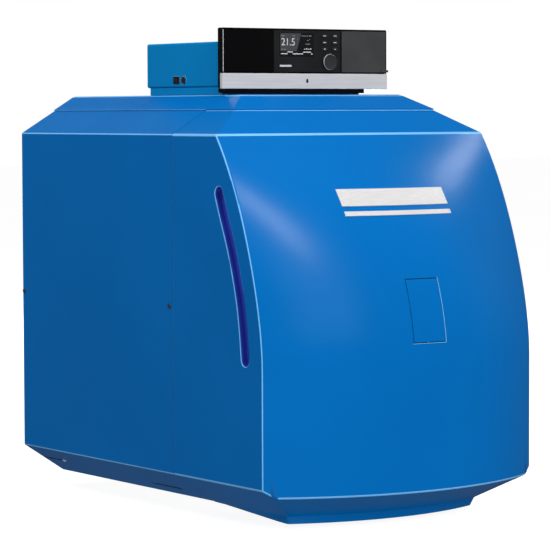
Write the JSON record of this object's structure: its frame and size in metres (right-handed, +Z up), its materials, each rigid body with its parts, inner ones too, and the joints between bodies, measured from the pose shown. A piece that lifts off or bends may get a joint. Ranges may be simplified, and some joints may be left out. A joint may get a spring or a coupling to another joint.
{
  "type": "floor-standing oil boiler with burner",
  "caption": "Floor-standing oil boiler: angled sheet casing with cast block, jet burner under a curved pull-off hood, and a control unit with display, knob and buttons on top.",
  "frame": {"origin": "on the floor, midway between the hood's front and the flue spigot's end, in the casing's middle plane", "axes": "+Z up, -Y towards the front of the burner hood, +Y towards the flue outlet at the rear"},
  "size_m": [0.6036, 0.994, 0.895],
  "materials": {
    "blue_paint": "gloss powder coat",
    "galvanised_steel": "galvanised sheet",
    "cast_iron": "as cast, dark",
    "jacket_wool": "glass-wool blanket",
    "cast_aluminium": "die cast",
    "black_plastic": "fine grain",
    "gloss_black": "polished",
    "grey_plastic": "fine grain",
    "display_glass": "clear window",
    "bright_steel": "zinc plated",
    "copper_pipe": "drawn copper tube",
    "silver_trim": "satin",
    "black_enamel": "heat-resistant satin",
    "brass": "turned",
    "rocker_plastic": "moulded",
    "ceramic": "glazed",
    "red_plastic": "moulded",
    "violet_plastic": "fine grain",
    "board_green": "solder resist"
  },
  "bodies": {
    "boiler": {"left_side_panel": "blue_paint", "right_side_panel": "blue_paint", "base_tray": "galvanised_steel", "levelling_feet": "bright_steel", "rear_panel": "galvanised_steel", "inner_front_frame": "galvanised_steel", "front_top_cover": "blue_paint", "casing_screws": "bright_steel", "front_section": "cast_iron", "middle_sections": "cast_iron", "rear_section": "cast_iron", "tie_rods": "bright_steel", "block_insulation": "jacket_wool", "burner_door": "cast_iron", "burner_flange": "cast_aluminium", "fixing_bolts": "bright_steel", "flue_collector": "black_enamel", "water_pipes": "bright_steel", "drain_cock": "brass", "burner_housing": "cast_aluminium", "blast_tube": "bright_steel", "nozzle_line": "brass", "mixing_disc": "bright_steel", "ignition_electrodes": "ceramic", "ignition_transformer": "black_plastic", "burner_control_box": "black_plastic", "flame_sensor": "black_plastic", "burner_motor": "black_enamel", "air_box": "cast_aluminium", "oil_pump": "cast_aluminium", "oil_pipe": "copper_pipe", "control_plinth": "blue_paint", "control_housing": "blue_paint", "control_bezel": "gloss_black", "silver_strip": "silver_trim", "blank_panel": "gloss_black", "display_module": "gloss_black", "display_glass": "display_glass", "circuit_board": "board_green", "switch_body": "black_plastic"},
    "hood": {"hood_shell": "blue_paint", "grip_trays": "violet_plastic", "badge_trims": "silver_trim"},
    "service_flap": {"service_flap": "blue_paint"},
    "rear_top_cover": {"rear_top_cover": "blue_paint"},
    "control_knob": {"control_knob": "grey_plastic"},
    "right_cover": {"right_cover": "grey_plastic"},
    "switch_rocker": {"switch_rocker": "rocker_plastic"},
    "fuse_cap": {"fuse_cap": "black_plastic"},
    "fan_rotor": {"motor_shaft": "bright_steel", "fan_wheel": "galvanised_steel"},
    "air_damper": {"air_damper": "galvanised_steel"},
    "reset_button": {"reset_button": "red_plastic"},
    "drain_lever": {"drain_lever": "black_plastic"},
    "button_left_top": {"button_left_top": "grey_plastic"},
    "button_left_middle": {"button_left_middle": "grey_plastic"},
    "button_left_bottom": {"button_left_bottom": "grey_plastic"},
    "button_right_top": {"button_right_top": "grey_plastic"},
    "button_right_middle": {"button_right_middle": "grey_plastic"},
    "button_right_bottom": {"button_right_bottom": "grey_plastic"}
  },
  "joints": [
    {"name": "hood_pull_off", "type": "slide", "parent": "boiler", "child": "hood", "axis": [0, -1, 0], "range_m": [0, 0.42]},
    {"name": "flap_hinge", "type": "hinge", "parent": "hood", "child": "service_flap", "pos_m": [0, -0.4675, 0.445], "axis": [-1, 0, 0], "range_deg": [0, 85]},
    {"name": "rear_cover_slide", "type": "slide", "parent": "boiler", "child": "rear_top_cover", "axis": [0, 1, 0], "range_m": [0, 0.12]},
    {"name": "knob_turn", "type": "hinge", "parent": "boiler", "child": "control_knob", "pos_m": [0.0515, -0.1195, 0.8335], "axis": [0, -1, 0], "continuous": true},
    {"name": "right_cover_pull", "type": "slide", "parent": "boiler", "child": "right_cover", "axis": [0, -1, 0], "range_m": [0, 0.03]},
    {"name": "rocker_tilt", "type": "hinge", "parent": "boiler", "child": "switch_rocker", "pos_m": [-0.176, 0.055, 0.8], "axis": [0, 0, -1], "range_deg": [0, 16]},
    {"name": "fuse_cap_turn", "type": "hinge", "parent": "boiler", "child": "fuse_cap", "pos_m": [-0.186, 0.029, 0.8], "axis": [-1, 0, 0], "range_deg": [0, 90]},
    {"name": "fan_spin", "type": "hinge", "parent": "boiler", "child": "fan_rotor", "pos_m": [0, -0.215, 0.3], "axis": [1, 0, 0], "continuous": true},
    {"name": "damper_turn", "type": "hinge", "parent": "boiler", "child": "air_damper", "pos_m": [-0.096, -0.215, 0.186], "axis": [0, 1, 0], "range_deg": [0, 80]},
    {"name": "reset_press", "type": "slide", "parent": "boiler", "child": "reset_button", "axis": [0, 1, 0], "range_m": [0, 0.003], "stiffness_N_per_m": 400},
    {"name": "drain_lever_turn", "type": "hinge", "parent": "boiler", "child": "drain_lever", "pos_m": [0.165, 0.458, 0.178], "axis": [0, 0, 1], "range_deg": [0, 90]},
    {"name": "button_left_top_press", "type": "slide", "parent": "boiler", "child": "button_left_top", "axis": [0, 1, 0], "range_m": [0, 0.0015], "stiffness_N_per_m": 200},
    {"name": "button_left_middle_press", "type": "slide", "parent": "boiler", "child": "button_left_middle", "axis": [0, 1, 0], "range_m": [0, 0.0015], "stiffness_N_per_m": 200},
    {"name": "button_left_bottom_press", "type": "slide", "parent": "boiler", "child": "button_left_bottom", "axis": [0, 1, 0], "range_m": [0, 0.0015], "stiffness_N_per_m": 200},
    {"name": "button_right_top_press", "type": "slide", "parent": "boiler", "child": "button_right_top", "axis": [0, 1, 0], "range_m": [0, 0.0015], "stiffness_N_per_m": 200},
    {"name": "button_right_middle_press", "type": "slide", "parent": "boiler", "child": "button_right_middle", "axis": [0, 1, 0], "range_m": [0, 0.0015], "stiffness_N_per_m": 200},
    {"name": "button_right_bottom_press", "type": "slide", "parent": "boiler", "child": "button_right_bottom", "axis": [0, 1, 0], "range_m": [0, 0.0015], "stiffness_N_per_m": 200}
  ]
}
